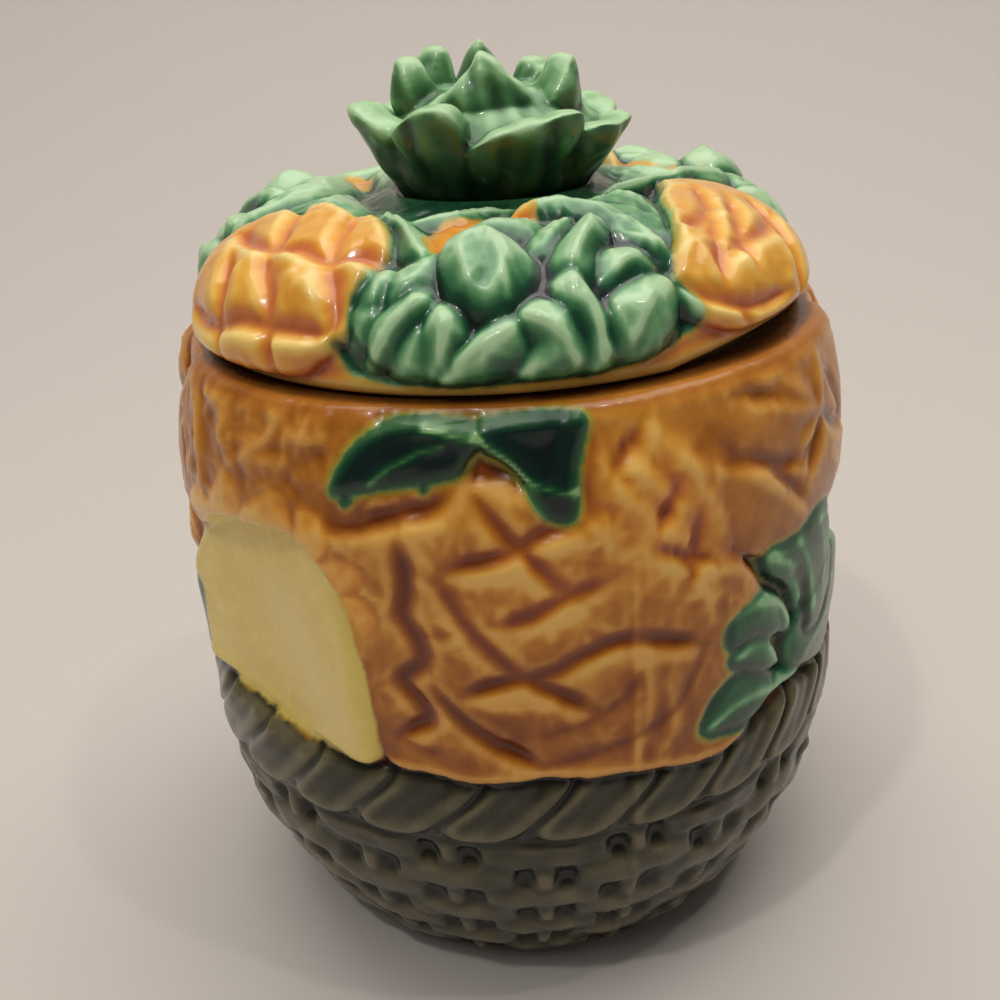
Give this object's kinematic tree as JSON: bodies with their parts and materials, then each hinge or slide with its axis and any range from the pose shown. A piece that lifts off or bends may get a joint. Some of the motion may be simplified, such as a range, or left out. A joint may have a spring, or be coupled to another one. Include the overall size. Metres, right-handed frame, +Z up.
{
  "type": "lidded jelly jar",
  "caption": "Glazed ceramic jelly jar shaped as pineapples heaped in a woven basket, with a domed lift-off lid and a pineapple-crown knob.",
  "frame": {"origin": "on the floor under the jar's vertical axis, at the middle of the foot ring", "axes": "+Z up along the jar's axis; -Y is the front, with the leaves under the rim; +X is to the right seen from the front"},
  "size_m": [0.1013, 0.1013, 0.1285],
  "materials": {
    "amber_glaze": "glossy amber, green and olive majolica glazes over relief",
    "orange_glaze": "glossy orange-yellow and green majolica glazes over relief",
    "leaf_glaze": "glossy green glaze, pale on the edges and dark in the hollows"
  },
  "bodies": {
    "jar": {"jar_body": "amber_glaze"},
    "lid": {"lid": "orange_glaze", "crown_knob": "leaf_glaze"}
  },
  "joints": [
    {"name": "lid_lift", "type": "slide", "parent": "jar", "child": "lid", "axis": [0, 0, 1], "range_m": [0, 0.06]}
  ]
}
